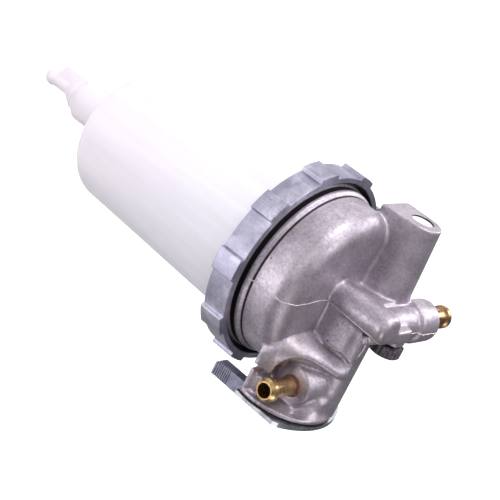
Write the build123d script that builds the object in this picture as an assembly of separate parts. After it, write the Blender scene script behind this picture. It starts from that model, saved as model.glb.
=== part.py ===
from build123d import *
import math
import os

# Fuel water separator: a die-cast head with a mounting bar, a threaded ring nut
# that clamps a long moulded bowl under it, an inlet with a shut-off cock on the
# right, and an outlet riser on top. All sizes are in millimetres.
# The pieces are modelled about the bowl axis: Z runs up it, z = 0 is the top face
# of the ring nut, X runs along the mounting bar, and +Y points at the bracket.
# At the end they move to the middle of the mounting face.

# Running clearances and fits
turn_fit = 0.05        # radial, a shaft that turns in its bore
thread_fit = 0.3       # radial, thread crests modelled as plain cylinders
loose_fit = 0.4        # radial, a screw through a clearance hole
cap_gap = 0.3          # a face that passes close by another

# Dome of the head, from the thread inwards
dome_inset = 1.9       # the dome's foot stands inside the lip by this
dome_top = 25.5
dome_foot = 5.7
dome_shoulder = 10.0
dome_wall = 3.5
dome_draft = 0.3       # the wall leans in by this from foot to shoulder
lip_inset = 1.4        # the lip stands inside the thread by this
lip_top = 2.4
lip_bead = 0.7         # the rounded bead round the lip's top edge
thread_r = 46.0
thread_top = -2.4      # above this the lip stands clear of the ring
skirt_depth = 6.5      # the male thread reaches this far below the ring's top
skirt_wall = 6.0       # from the thread in to the bore
foot_fillet = 1.2      # where the cast shapes stand on the dome

# Ring nut
ring_height = 13.0
ring_wall = 4.0        # from the thread out to the recesses between the lugs
ring_lug_height = 2.2
lug_count = 10
lug_angle = 12.6
lug_phase = -2.6       # from straight ahead towards +X
ring_edge = 0.5

# Bowl, its gasket and neck
gasket_thick = 1.5
gasket_inset = 0.4
bowl_flange = 2.5
bowl_top_gap = 0.7     # the bowl's side stands inside the skirt's bore by this
bowl_side_lean = 3.65  # the side closes in by this down to the round bottom
bowl_turn_z = -119.5   # where the straight side ends and the round bottom starts
bowl_end = 18.0        # depth of the round bottom
bowl_power = 2.3       # how square the round bottom is; 2 would be an ellipse
bowl_wall = 2.6
neck_r = 11.0
neck_end_r = 8.0
neck_length = 28.0
neck_taper = 5.0
neck_bore = 6.0
seat_depth = 17.0      # from the neck's end up to where the drain seat's cone starts
drain_hole_r = 3.0

# Drain plug
plug_body_length = 1.5
plug_bore = 1.6
cross_hole_r = 1.2
cross_hole_z = 12.0
spout_r = 3.8
spout_ball_r = 4.6
spout_length = 27.2
spout_hip_r = 6.2
spout_hip = 3.5
spout_shoulder = 9.1   # from the neck's end to where the body has rounded down to the spout
grip_reach = 8.9
grip_length = 18.6
grip_thick = 6.4
grip_turn = 156.0      # where the thumb grip points, from +X
drain_ring_r = 0.9
drain_ring_depth = 4.0

# Mounting bar and its face
mount_y = 34.8         # bowl axis to bracket face
bar_left = -46.0
bar_bottom = 15.0
bar_end_r = 10.3
bar_end_z = 31.0
bar_root_r = 12.5
bar_root_z = 31.5
bar_root_x = -9.0
bar_flare = 2.2        # the front of the bar swells by this down to its foot
gallery_r = 5.35
gallery_y = 25.8
gallery_z = 30.7
plug_recess = 1.0
plug_thick = 3.0
mount_hole_r = 3.4
mount_hole_depth = 13.0
mount_hole_spread = 64.0
mount_hole_z = 20.0
rear_beam_right = 44.0
rear_beam_top = 29.0

# Wall along the head, which carries the ducts
wall_front = -10.7
wall_lean = 1.7
wall_crown_y = -1.0
wall_crown_z = 41.0
wall_crown_r = 8.0
wall_back = 5.0

# Riser and outlet
riser_x = -4.4
riser_y = -4.6
riser_r = 7.6
riser_top = 58.5
riser_bore = 4.0
web_front = -4.0
web_back = 27.0
web_right = 6.0
web_top = 43.0
outlet_x = 0.0
outlet_z = 47.0
outlet_r = 8.0
outlet_step_y = 26.0
outlet_step = 1.5
outlet_end_y = 41.5
outlet_boss_r = 10.3
gate_x = -0.5
gate_y = 7.0
gate_length = 15.0
gate_width = 7.0
gate_top = 58.6

# Bleed boss and screw
bleed_y = 17.5
bleed_z = 48.0
bleed_flats = 13.0
bleed_boss_end = 8.6
bleed_cap_r = 8.2
bleed_cap_length = 5.5
bleed_thread_r = 3.0
bleed_thread_length = 5.5
bleed_hole_r = 1.5
bleed_washer_thick = 0.8
bleed_flutes = 14

# Inlet block, flange and cover
inlet_x = 41.2
inlet_z = 32.0
inlet_face_y = -18.5
inlet_boss_r = 10.5
inlet_root = (37, 1, 31)
inlet_root_r = 16.5
block_left = 16.5
block_right = 36.0
block_front = -33.9
block_bottom = 18.0
block_lip = 3.0
block_corner = 6.0     # the plan is cut back by this along the left face, at the front corner
block_bevel = 2.6      # and by this along the front, where the cut bends
block_nose = 9.5       # from the left face in to where the front is straight
# the lobe's fall towards the front: y, height of the crest, height of its right foot
lobe_fall = [(-34.5, 20.6, 18.4), (-31, 22.6, 19.4), (-27, 26.4, 21.0), (-23, 31.4, 22.4),
             (-18.5, 36.2, 23.8), (-14.5, 41.4, 26.5), (-10, 45.6, 31.0), (-5, 47.6, 37.0),
             (0, 48.0, 40.0)]
lobe_crest_x = 23.0
lobe_shoulder = 5.0    # the crest stands this far above the left face
lobe_right = 31.5
lobe_top = 78.0        # the plan's cutter reaches well above the lobe
valley = 2.5
valley_floor = 1.2
flange_x = 52.0
flange_thick = 2.2
flange_r = 25.5
flange_y = -9.0
flange_z = 24.5
flare_x = 43.0
flare_r = 19.0
pocket_r = 16.0        # the hollow round the inlet nipple opens out to this
cover_gasket = 0.8
cover_thick = 2.2
cover_front = -33.4
cover_back = 22.5
cover_low = 16.0
cover_back_z = 37.6    # the round top starts here at the back
cover_corner_z = 40.3
cover_cut_y = 1.6      # the cut at the front corner
cover_cut_z = 2.2
cover_top = 49.8
cover_top_y = -7.5
screw_circle = 20.0
screw_spread = 18.6
screw_low = 21.4
cover_screw_r = 1.8
cover_screw_length = 10.0
cover_head_r = 3.5
cover_head_height = 1.9

# Hose nipples
nipple_r = 4.5
nipple_bore = 3.6
nipple_length = 20.0
nipple_seat = 4.2
bead_r = 5.7
bead_length = 4.0
bead_crown = 1.6       # from the tip back to the bead's full width

# Shut-off cock
cock_y = -2.5
cock_r = 7.0
cock_left = 36.5
cock_port = 2.8
spindle_r = 3.0
thrust_thick = 1.0
cock_ring_r = 0.9
cock_ring_x = 49.0
lever_hub_r = 6.5
lever_hub_length = 4.4 # from the cover's face out to the arm
lever_arm_thick = 2.2
lever_arm_gap = 0.6
lever_arm_width = 9.0
pad_width = 8.0
pad_low = -9.3
pad_high = 12.0
pad_front = -18.0
pad_depth = 6.0
pad_left = 55.5
pad_groove_z = 0.8
pad_rib_pitch = 1.2
pad_rib_depth = 0.5
nut_flats = 10.0
nut_height = 3.2

# Inside the bowl
baffle_r = 33.0
baffle_drop = 9.0
baffle_wall = 2.0
baffle_skirt = 4.0
chimney_bore = 10.6
baffle_screw_r = 2.0
baffle_screw_reach = 7.5
baffle_head_r = 3.6
baffle_head_height = 2.4
baffle_screw_y = 22.0
baffle_pad_z = 12.0
baffle_pad_r = 4.2
float_gap = 2.05       # from the bowl's inside to the float
float_width = 8.0
float_height = 8.0
float_drop = 7.9       # at rest it hangs this far into the bowl's round bottom
float_chamfer = 2.5


def rod(radius, start, direction, length):
    """A cylinder that starts at a point and runs along a direction."""
    place = Plane(origin=start, z_dir=direction)
    return place * Cylinder(radius, length, align=(Align.CENTER, Align.CENTER, Align.MIN))


def turned(*outline):
    """A solid turned about Z from an outline of (radius, z) points."""
    edges = Polyline(*[(r, 0, z) for r, z in outline], close=True)
    return revolve(make_face(edges), Axis.Z)


def ring_z(outer, inner, z_low, z_high):
    """A plain ring about Z."""
    return turned((inner, z_low), (outer, z_low), (outer, z_high), (inner, z_high))


def box_from(low, high):
    """A box between two opposite corners."""
    x, y, z = [b - a for a, b in zip(low, high)]
    return Pos(*low) * Box(x, y, z, align=(Align.MIN, Align.MIN, Align.MIN))


def arch(x, centre_y, centre_z, radius, low_z, flare):
    """The bar's section at x: a round top, a flat back and a front that swells downwards."""
    front = centre_y - radius
    back = centre_y + radius
    sides = Polyline((x, back, centre_z), (x, back, low_z), (x, front - flare, low_z), (x, front, centre_z))
    crown = ThreePointArc((x, front, centre_z), (x, centre_y, centre_z + radius), (x, back, centre_z))
    return make_face(sides + crown)


def prism_x(flats, start, length, turn=0.0):
    """A hexagonal prism along +X."""
    place = Plane(origin=start, x_dir=(0, 1, 0), z_dir=(1, 0, 0)) * Rot(0, 0, turn)
    return extrude(place * RegularPolygon(flats / 2, 6, major_radius=False), length)


# Sizes that follow from the thread, and heights from the stack between head and ring nut
lip_r = thread_r - lip_inset
dome_r = lip_r - dome_inset
skirt_bore = thread_r - skirt_wall
bowl_top_r = skirt_bore - bowl_top_gap
bowl_low_r = bowl_top_r - bowl_side_lean
ring_bore = thread_r + thread_fit
ring_body_r = ring_bore + ring_wall
ring_lug_r = ring_body_r + ring_lug_height
skirt_bottom = -skirt_depth
flange_high = skirt_bottom - gasket_thick
flange_low = flange_high - bowl_flange
bowl_bottom = bowl_turn_z - bowl_end
neck_bottom = bowl_bottom - neck_length
float_outer = bowl_low_r - bowl_wall - float_gap
float_inner = float_outer - float_width
float_low = bowl_turn_z - float_drop
roof = dome_top - dome_wall
bar_end_y = mount_y - bar_end_r
bar_root_y = mount_y - bar_root_r
cover_in = flange_x + cover_gasket
cover_out = cover_in + cover_thick
lever_left = cover_out + cap_gap
arm_left = cover_out + lever_hub_length
lever_right = arm_left + lever_arm_thick
screw_places = [(flange_y - screw_spread, screw_low), (flange_y + screw_spread, screw_low),
                (flange_y, flange_z + screw_circle)]


def dome_shell():
    """The round part of the head: dome, lip and male-threaded skirt."""
    outer = turned((0, dome_top), (dome_r - dome_draft, dome_top), (dome_r, dome_foot),
                   (lip_r - 2 * lip_bead, lip_top), (lip_r, lip_top), (lip_r, thread_top),
                   (thread_r, thread_top), (thread_r, skirt_bottom), (0, skirt_bottom))
    outer = fillet(outer.edges().filter_by(GeomType.CIRCLE).group_by(Axis.Z)[-1], dome_shoulder)
    outer += Pos(0, 0, lip_top) * Torus(lip_r - lip_bead, lip_bead)
    inner_r = dome_r - dome_wall
    cavity = turned((0, roof), (inner_r - dome_draft, roof), (inner_r, dome_foot), (inner_r, 0),
                    (skirt_bore, 0), (skirt_bore, skirt_bottom), (0, skirt_bottom))
    roof_edge = cavity.edges().filter_by(GeomType.CIRCLE).group_by(Axis.Z)[-1]
    cavity = fillet(roof_edge, dome_shoulder - dome_wall)
    return outer, cavity


def mounting_bar():
    """The tapering bar on the left and the low beam behind the wall on the right."""
    end = arch(bar_left, bar_end_y, bar_end_z, bar_end_r, bar_bottom, bar_flare)
    root = arch(bar_root_x, bar_root_y, bar_root_z, bar_root_r, bar_bottom, bar_flare)
    beam = box_from((bar_root_x, 0, bar_bottom), (rear_beam_right, mount_y, rear_beam_top))
    back_edge = beam.edges().filter_by(Axis.X).group_by(Axis.Z)[-1].sort_by(Axis.Y)[-1]
    return loft([end, root]) + fillet(back_edge, 5.0)


def duct_wall():
    """The upright wall over the dome that hides the inlet duct."""
    left = bar_root_x
    crown_front = wall_crown_y - wall_crown_r
    back_z = wall_crown_z + math.sqrt(wall_crown_r ** 2 - (wall_back - wall_crown_y) ** 2)
    sides = Polyline((left, wall_back, back_z), (left, wall_back, roof), (left, wall_front, roof),
                     (left, crown_front, wall_crown_z))
    top = (left, wall_crown_y, wall_crown_z + wall_crown_r)
    crown = ThreePointArc((left, crown_front, wall_crown_z), top, (left, wall_back, back_z))
    return extrude(make_face(sides + crown), flange_x - flange_thick - left, dir=(1, 0, 0))


def outlet_riser():
    """The riser on the dome, the tube that turns back over the bar, the bleed boss and the gate stub."""
    body = rod(riser_r, (riser_x, riser_y, roof), (0, 0, 1), riser_top - roof)
    body = fillet(body.edges().group_by(Axis.Z)[-1], 3.5)
    body += rod(outlet_r, (outlet_x, riser_y, outlet_z), (0, 1, 0), outlet_step_y + outlet_step - riser_y)
    boss = rod(outlet_boss_r, (outlet_x, outlet_step_y, outlet_z), (0, 1, 0), outlet_end_y - outlet_step_y)
    boss = chamfer(boss.edges().group_by(Axis.Y)[0], outlet_step)
    body += fillet(boss.edges().group_by(Axis.Y)[-1], 1.0)
    body += box_from((bar_root_x, web_front, roof), (web_right, web_back, web_top))
    body += prism_x(bleed_flats, (outlet_x, bleed_y, bleed_z), bleed_boss_end - outlet_x)
    gate = Pos(gate_x, gate_y, outlet_z) * Box(gate_width, gate_length, gate_top - outlet_z,
                                               align=(Align.CENTER, Align.CENTER, Align.MIN))
    return body + chamfer(gate.edges().group_by(Axis.Z)[-1], 1.0)


def lobe_section(y, crest_z, right_z):
    """The lobe's section at y: an upright left face that rounds over a crest and falls to the right."""
    left, crest = (block_left, y, crest_z - lobe_shoulder), (lobe_crest_x, y, crest_z)
    right = (lobe_right, y, right_z)
    top = Spline(left, crest, right, tangents=((0, 0, 1), (0.3, 0, -1)))
    sides = Polyline(right, (lobe_right, y, block_bottom - 8), (block_left, y, block_bottom - 8), left)
    return make_face(top + sides)


def inlet_lobe():
    """The left lobe of the block: it falls from the wall's crown to a low lip in front."""
    body = loft([lobe_section(*step) for step in lobe_fall])
    x, y = block_left, block_front
    fan = Polyline((x, y, block_bottom), (x, y, block_bottom + block_lip), (x, wall_front, block_bottom + 7),
                   (x, 0, block_bottom + 7), (x, 0, block_bottom), close=True)
    body += extrude(make_face(fan), block_right - x, dir=(1, 0, 0))
    z, corner = block_bottom, block_corner
    plan = Polyline((x, 1, z), (x, y + corner, z), (x + 0.4 * corner, y + block_bevel, z),
                    (x + block_nose, y, z), (block_right, y, z), (block_right, 1, z), close=True)
    return body & extrude(make_face(plan), lobe_top - z, dir=(0, 0, 1))


def inlet_block():
    """The swelling on the right: lobe, inlet boss, cock chamber and the flare out to the cover flange."""
    edge = flange_x - flange_thick
    near = Plane(origin=(inlet_x, inlet_face_y, inlet_z), z_dir=(0, -1, 0)) * Circle(inlet_boss_r)
    far = Plane(origin=inlet_root, z_dir=(0, -1, 0)) * Circle(inlet_root_r)
    thin = Plane(origin=(flare_x, flange_y, flange_z), z_dir=(1, 0, 0)) * Circle(flare_r)
    wide = Plane(origin=(edge, flange_y, flange_z), z_dir=(1, 0, 0)) * Circle(flange_r)
    flare = loft([thin.face(), wide.face()])
    mouth = Plane(origin=(inlet_x, block_front - 1, inlet_z), z_dir=(0, 1, 0)) * Circle(pocket_r)
    floor = Plane(origin=(inlet_x, inlet_face_y, inlet_z), z_dir=(0, 1, 0)) * Circle(inlet_boss_r + cap_gap)
    flare -= loft([mouth.face(), floor.face()])
    foot_left = block_right + valley
    body = inlet_lobe() + loft([far.face(), near.face()]) + flare
    low = block_bottom
    body += box_from((foot_left, block_front, low), (edge, 0, low + block_lip - 1))
    body += box_from((block_right - 1, block_front + 4, low), (foot_left + 1, 0, low + valley_floor))
    body += rod(cock_r + 4, (cock_left - 2, cock_y, inlet_z), (1, 0, 0), edge - cock_left + 2)
    body += rod(flange_r, (edge, flange_y, flange_z), (1, 0, 0), flange_thick)
    boss_x = flange_x - cover_screw_length - 1
    for y, z in screw_places:
        body += rod(2 * cover_screw_r, (boss_x, y, z), (1, 0, 0), cover_screw_length)
    reach = 2 * flange_r
    under = box_from((flange_x - reach, -reach, low - reach), (flange_x + reach, reach, low))
    beyond = box_from((flange_x, -reach, -reach), (flange_x + flange_r, reach, reach))
    return body - under - beyond


def head_casting():
    outer, cavity = dome_shell()
    body = outer + mounting_bar() + duct_wall() + inlet_block() + outlet_riser()
    body -= cavity
    # two posts under the roof that carry the baffle
    for side in (-1, 1):
        foot = (0, side * baffle_screw_y, baffle_pad_z)
        body += rod(baffle_pad_r, foot, (0, 0, 1), roof - baffle_pad_z + 1)
        body -= rod(baffle_screw_r - thread_fit, foot, (0, 0, 1), baffle_screw_reach + 1)
    # inlet way: nipple socket, cock chamber, then down through the roof
    way_x = cock_left - 14
    body -= rod(nipple_r, (inlet_x, inlet_face_y - 1, inlet_z), (0, 1, 0), nipple_seat + 1)
    body -= rod(cock_port, (inlet_x, inlet_face_y, inlet_z), (0, 1, 0), cock_y - inlet_face_y)
    body -= rod(cock_r + turn_fit, (cock_left, cock_y, inlet_z), (1, 0, 0), flange_x - cock_left + 1)
    body -= rod(riser_bore, (way_x, cock_y, inlet_z), (1, 0, 0), cock_left - way_x + 1)
    body -= rod(riser_bore, (way_x, cock_y, roof - 3), (0, 0, 1), inlet_z - roof + 3)
    # outlet way: up the riser and back to the outlet nipple
    body -= rod(riser_bore, (riser_x + 1, riser_y, roof - 3), (0, 0, 1), outlet_z + 2 - roof + 3)
    body -= rod(riser_bore, (outlet_x, riser_y - 2, outlet_z), (0, 1, 0), outlet_end_y - riser_y)
    body -= rod(nipple_r, (outlet_x, outlet_end_y - nipple_seat, outlet_z), (0, 1, 0), nipple_seat + 1)
    body -= rod(bleed_hole_r, (outlet_x, bleed_y, bleed_z), (1, 0, 0), bleed_boss_end - outlet_x)
    body -= rod(bleed_thread_r + turn_fit, (bleed_boss_end - bleed_thread_length - 0.2, bleed_y, bleed_z),
                (1, 0, 0), bleed_thread_length + 1)
    # gallery along the bar, joined to the outlet tube, and the screw holes
    body -= rod(gallery_r, (bar_left - 1, gallery_y, gallery_z), (1, 0, 0), outlet_x - bar_left)
    body -= rod(riser_bore - 1, (outlet_x - 3, gallery_y, gallery_z), (0, 0, 1), outlet_z - gallery_z)
    for side in (-1, 1):
        mouth = (side * mount_hole_spread / 2, mount_y + 1, mount_hole_z)
        body -= rod(mount_hole_r, mouth, (0, -1, 0), mount_hole_depth + 1)
    for y, z in screw_places:
        body -= rod(cover_screw_r, (flange_x + 1, y, z), (-1, 0, 0), cover_screw_length + 1)
    return body


def ring_nut():
    opening = bowl_top_r + loose_fit
    body = turned((opening, -ring_height), (ring_body_r, -ring_height), (ring_body_r, 0),
                  (ring_bore + ring_edge, 0), (ring_bore, -ring_edge), (ring_bore, flange_low),
                  (opening, flange_low))
    for i in range(lug_count):
        middle = lug_phase + 360 / lug_count * i - 90
        wedge = CenterArc((0, 0), ring_lug_r, middle - lug_angle / 2, lug_angle)
        inner = CenterArc((0, 0), ring_body_r - ring_wall / 3, middle - lug_angle / 2, lug_angle)
        sides = Line(wedge @ 0, inner @ 0) + Line(wedge @ 1, inner @ 1)
        body += extrude(make_face(wedge + inner + sides), ring_height, dir=(0, 0, -1))
    return body


def bowl_side(inset):
    """Half outline of the bowl, moved inwards by an inset."""
    across = bowl_low_r - inset
    deep = bowl_end - inset
    points = []
    for step in range(9):
        turn = math.radians(90 / 8 * step)
        radius = across * math.cos(turn) ** (2 / bowl_power)
        drop = deep * math.sin(turn) ** (2 / bowl_power)
        points.append((radius, 0, bowl_turn_z - drop))
    points[-1] = (0, 0, bowl_turn_z - deep)
    bottom = Spline(*points, tangents=((0, 0, -1), (-1, 0, 0)))
    side = Polyline(points[-1], (0, 0, flange_high), (bowl_top_r - inset, 0, flange_high), points[0])
    return revolve(make_face(side + bottom), Axis.Z)


def bowl():
    outer = bowl_side(0)
    outer += ring_z(thread_r - gasket_inset, bowl_top_r - bowl_wall, flange_low, flange_high)
    outer += turned((0, bowl_bottom + 4), (neck_r, bowl_bottom + 4), (neck_r, neck_bottom + neck_taper),
                    (neck_end_r, neck_bottom), (0, neck_bottom))
    seat = neck_bottom + seat_depth
    high = bowl_bottom + bowl_wall + 1
    way = turned((0, neck_bottom), (neck_bore, neck_bottom), (neck_bore, seat),
                 (drain_hole_r, seat + neck_bore - drain_hole_r), (drain_hole_r, high), (0, high))
    return outer - bowl_side(bowl_wall) - way


def bowl_gasket():
    return ring_z(thread_r - gasket_inset, skirt_bore + gasket_inset, flange_high, skirt_bottom)


def nipple(place, tip):
    """A brass hose nipple along the local +Z of a place, with its bead at the far end."""
    neck, crown = tip - bead_length, tip - bead_crown
    shape = turned((nipple_bore, -nipple_seat), (nipple_r, -nipple_seat), (nipple_r, neck - 1),
                   (bead_r, neck), (bead_r, crown), (nipple_r - 0.2, tip), (nipple_bore, tip))
    return place * shape


def inlet_nipple():
    return nipple(Plane(origin=(inlet_x, inlet_face_y, inlet_z), z_dir=(0, -1, 0)), nipple_length)


def outlet_nipple():
    return nipple(Plane(origin=(outlet_x, outlet_end_y, outlet_z), z_dir=(0, 1, 0)), nipple_length)


def end_gasket():
    body = rod(flange_r, (flange_x, flange_y, flange_z), (1, 0, 0), cover_gasket)
    body -= rod(cock_r + 0.6, (flange_x - 1, cock_y, inlet_z), (1, 0, 0), cover_gasket + 2)
    for y, z in screw_places:
        body -= rod(cover_screw_r + loose_fit, (flange_x - 1, y, z), (1, 0, 0), cover_gasket + 2)
    reach = 2 * flange_r
    return body - box_from((flange_x - 1, -reach, block_bottom - reach), (cover_in + 1, reach, block_bottom))


def end_cover():
    """The pressed cover: upright edges, a cut front corner and a broad round top."""
    x = cover_in
    back, cut = (x, cover_back, cover_back_z), (x, cover_front + cover_cut_y, cover_corner_z + cover_cut_z)
    outline = Polyline(back, (x, cover_back, cover_low), (x, cover_front, cover_low),
                       (x, cover_front, cover_corner_z), cut)
    crown = ThreePointArc(cut, (x, cover_top_y, cover_top), back)
    body = extrude(make_face(outline + crown), cover_thick, dir=(1, 0, 0))
    body -= rod(spindle_r + turn_fit, (x - 1, cock_y, inlet_z), (1, 0, 0), cover_thick + 2)
    for y, z in screw_places:
        body -= rod(cover_screw_r + loose_fit, (x - 1, y, z), (1, 0, 0), cover_thick + 2)
        sink = Plane(origin=(cover_out, y, z), z_dir=(-1, 0, 0))
        body -= sink * turned((0, -0.1), (cover_head_r + 0.25, -0.1),
                              (cover_screw_r + loose_fit, cover_head_height), (0, cover_head_height))
    return body


def cover_screws():
    parts = []
    for y, z in screw_places:
        place = Plane(origin=(cover_out, y, z), z_dir=(-1, 0, 0))
        screw = turned((0, 0.1), (cover_head_r, 0.1), (cover_screw_r, cover_head_height),
                       (cover_screw_r, cover_screw_length), (0, cover_screw_length))
        slot = Box(2 * cover_head_r + 1, 1.0, 1.8)
        cross = slot + Rot(0, 0, 90) * slot
        parts.append(place * (screw - (cross & Cylinder(2.4, 2))))
    return Compound(children=parts)


def cock_plug():
    """The turning plug with an elbow way through it, and its spindle."""
    right = cover_in - thrust_thick
    body = rod(cock_r, (cock_left + cap_gap, cock_y, inlet_z), (1, 0, 0), right - cock_left - cap_gap)
    body += rod(spindle_r, (right, cock_y, inlet_z), (1, 0, 0), lever_right - right + nut_height + 1)
    body -= rod(cock_port, (inlet_x, cock_y - cock_r - 1, inlet_z), (0, 1, 0), cock_r + 1)
    body -= rod(cock_port, (cock_left - 1, cock_y, inlet_z), (1, 0, 0), inlet_x - cock_left + 1)
    groove = ring_z(cock_r + 1, cock_r - 2 * cock_ring_r, -cock_ring_r, cock_ring_r)
    body -= Plane(origin=(cock_ring_x, cock_y, inlet_z), z_dir=(1, 0, 0)) * groove
    return body


def cock_oring():
    place = Plane(origin=(cock_ring_x, cock_y, inlet_z), z_dir=(1, 0, 0))
    return place * Torus(cock_r - cock_ring_r + turn_fit / 2, cock_ring_r)


def thrust_washer():
    place = Plane(origin=(cover_in - thrust_thick, cock_y, inlet_z), z_dir=(1, 0, 0))
    return place * ring_z(cock_r - 1, spindle_r + turn_fit, 0, thrust_thick)


def cock_lever():
    """Hub, flat arm and the ribbed thumb pad that hangs below the cover."""
    hub = rod(lever_hub_r, (lever_left, cock_y, inlet_z), (1, 0, 0), lever_right - lever_left)
    pad_y = pad_front + pad_depth / 2
    half = lever_arm_width / 2
    x = arm_left
    arm_outline = Polyline((x, cock_y - lever_hub_r, inlet_z + 1), (x, cock_y + lever_hub_r, inlet_z - 1),
                           (x, pad_y + half, pad_high), (x, pad_y + pad_depth / 2, pad_groove_z),
                           (x, pad_front, pad_groove_z), (x, pad_front, pad_high), close=True)
    arm = extrude(make_face(arm_outline), lever_arm_thick, dir=(1, 0, 0))
    pad = Pos(pad_left, pad_front, pad_low) * Box(pad_width, pad_depth, pad_high - pad_low,
                                                  align=(Align.MIN, Align.MIN, Align.MIN))
    corner = pad.edges().filter_by(Axis.Y).group_by(Axis.Z)[0].sort_by(Axis.X)[0]
    pad = chamfer(corner, 1.5)
    count = int((pad_groove_z - pad_low) / pad_rib_pitch)
    for i in range(count):
        z = pad_groove_z - i * pad_rib_pitch
        pad -= Pos(pad_left - 1, pad_front, z) * Box(pad_width + 2, 2 * pad_rib_depth, pad_rib_pitch / 2,
                                                     align=(Align.MIN, Align.CENTER, Align.MAX))
    body = hub + arm + pad
    body -= rod(spindle_r, (lever_left - 1, cock_y, inlet_z), (1, 0, 0), lever_right - lever_left + 2)
    return body


def lever_nut():
    body = prism_x(nut_flats, (lever_right, cock_y, inlet_z), nut_height)
    return body - rod(spindle_r, (lever_right - 1, cock_y, inlet_z), (1, 0, 0), nut_height + 2)


def gallery_plug():
    return rod(gallery_r, (bar_left + plug_recess, gallery_y, gallery_z), (1, 0, 0), plug_thick)


def bleed_washer():
    place = Plane(origin=(bleed_boss_end, bleed_y, bleed_z), z_dir=(1, 0, 0))
    return place * ring_z(bleed_flats / 2 - 0.8, bleed_thread_r + turn_fit, 0, bleed_washer_thick)


def bleed_screw():
    """A knurled thumb screw that opens the riser's top."""
    cap_left = bleed_boss_end + bleed_washer_thick
    place = Plane(origin=(cap_left, bleed_y, bleed_z), z_dir=(1, 0, 0))
    cap = place * Cylinder(bleed_cap_r, bleed_cap_length, align=(Align.CENTER, Align.CENTER, Align.MIN))
    cap = chamfer(cap.edges().group_by(Axis.X)[-1], 0.8)
    for i in range(bleed_flutes):
        turn = 360 / bleed_flutes * i
        flute = Rot(0, 0, turn) * Pos(bleed_cap_r + 0.5, 0, 0) * Cylinder(1.1, 3 * bleed_cap_length)
        cap -= place * flute
    thread = rod(bleed_thread_r, (cap_left, bleed_y, bleed_z), (-1, 0, 0), bleed_thread_length)
    return cap + thread


def baffle():
    """An umbrella under the roof: a chimney up to the outlet way and a cone that sheds water."""
    chimney_r = chimney_bore + baffle_wall
    low = baffle_pad_z - baffle_drop
    inner = baffle_r - baffle_wall
    body = turned((chimney_bore, baffle_pad_z - baffle_wall), (inner, low - baffle_wall),
                  (inner, low - baffle_skirt), (baffle_r, low - baffle_skirt), (baffle_r, low),
                  (chimney_r, baffle_pad_z), (chimney_r, roof), (chimney_bore, roof))
    for side in (-1, 1):
        y = side * baffle_screw_y
        body += rod(baffle_pad_r, (0, y, low - 1), (0, 0, 1), baffle_pad_z - low + 1)
        body -= rod(baffle_screw_r + loose_fit, (0, y, low - baffle_drop), (0, 0, 1), 3 * baffle_drop)
    return body


def baffle_screws():
    parts = []
    low = baffle_pad_z - baffle_drop - 1
    for side in (-1, 1):
        y = side * baffle_screw_y
        head = rod(baffle_head_r, (0, y, low), (0, 0, -1), baffle_head_height)
        shank_length = baffle_pad_z - low + baffle_screw_reach
        shank = rod(baffle_screw_r - thread_fit, (0, y, low), (0, 0, 1), shank_length)
        parts.append(head + shank)
    return Compound(children=parts)


def float_ring():
    """The ring that floats on water and shows its level through the bowl."""
    body = ring_z(float_outer, float_inner, float_low, float_low + float_height)
    edge = body.edges().filter_by(GeomType.CIRCLE).group_by(Axis.Z)[0].sort_by(SortBy.RADIUS)[-1]
    return chamfer(edge, float_chamfer)


def drain_plug():
    """A hollow thumb plug: thread up into the neck, a grip to one side and a ball-ended spout."""
    low = neck_bottom - plug_body_length
    shoulder = neck_bottom - spout_shoulder
    tip = neck_bottom - spout_length
    seat = neck_bottom + seat_depth - 2 * turn_fit
    nose_r = drain_hole_r - 0.4
    nose = seat + neck_bore - turn_fit - nose_r
    body = turned((0, nose), (nose_r, nose), (neck_bore - turn_fit, seat),
                  (neck_bore - turn_fit, neck_bottom), (neck_end_r, neck_bottom), (neck_end_r, low),
                  (spout_hip_r, low - spout_hip), (spout_r, shoulder), (spout_r, tip + spout_ball_r),
                  (0, tip + spout_ball_r))
    groove_r = neck_bore - 2 * drain_ring_r - turn_fit
    groove = ring_z(neck_bore + 1, groove_r, -drain_ring_r, drain_ring_r)
    body -= Pos(0, 0, neck_bottom + drain_ring_depth) * groove
    grip = Pos(0, 0, neck_bottom) * Box(grip_reach, grip_thick, grip_length,
                                        align=(Align.MIN, Align.CENTER, Align.MAX))
    grip = fillet(grip.edges().filter_by(Axis.Y).group_by(Axis.Z)[0].sort_by(Axis.X)[-1], 3.0)
    grip = chamfer(grip.edges().filter_by(Axis.Y).group_by(Axis.Z)[-1].sort_by(Axis.X)[-1], 1.2)
    body += Rot(0, 0, grip_turn) * grip
    body += Pos(0, 0, tip + spout_ball_r) * Sphere(spout_ball_r)
    body -= rod(plug_bore, (0, 0, tip - 1), (0, 0, 1), spout_length + cross_hole_z + 1)
    body -= rod(cross_hole_r, (-neck_bore, 0, neck_bottom + cross_hole_z), (1, 0, 0), 2 * neck_bore)
    return body


def drain_oring():
    place = Pos(0, 0, neck_bottom + drain_ring_depth)
    return place * Torus(neck_bore - drain_ring_r - turn_fit / 2, drain_ring_r)


pieces = {
    "head_casting": head_casting, "ring_nut": ring_nut, "bowl": bowl, "bowl_gasket": bowl_gasket,
    "inlet_nipple": inlet_nipple, "outlet_nipple": outlet_nipple, "end_gasket": end_gasket,
    "end_cover": end_cover, "cover_screws": cover_screws, "cock_plug": cock_plug, "cock_oring": cock_oring,
    "thrust_washer": thrust_washer, "cock_lever": cock_lever, "lever_nut": lever_nut,
    "gallery_plug": gallery_plug, "bleed_washer": bleed_washer, "bleed_screw": bleed_screw,
    "baffle": baffle, "baffle_screws": baffle_screws, "float_ring": float_ring,
    "drain_plug": drain_plug, "drain_oring": drain_oring,
}

os.makedirs("parts", exist_ok=True)
to_mount = Pos(0, -mount_y, -mount_hole_z)
for name, make in pieces.items():
    export_step(to_mount * make(), f"parts/{name}.step")
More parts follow.
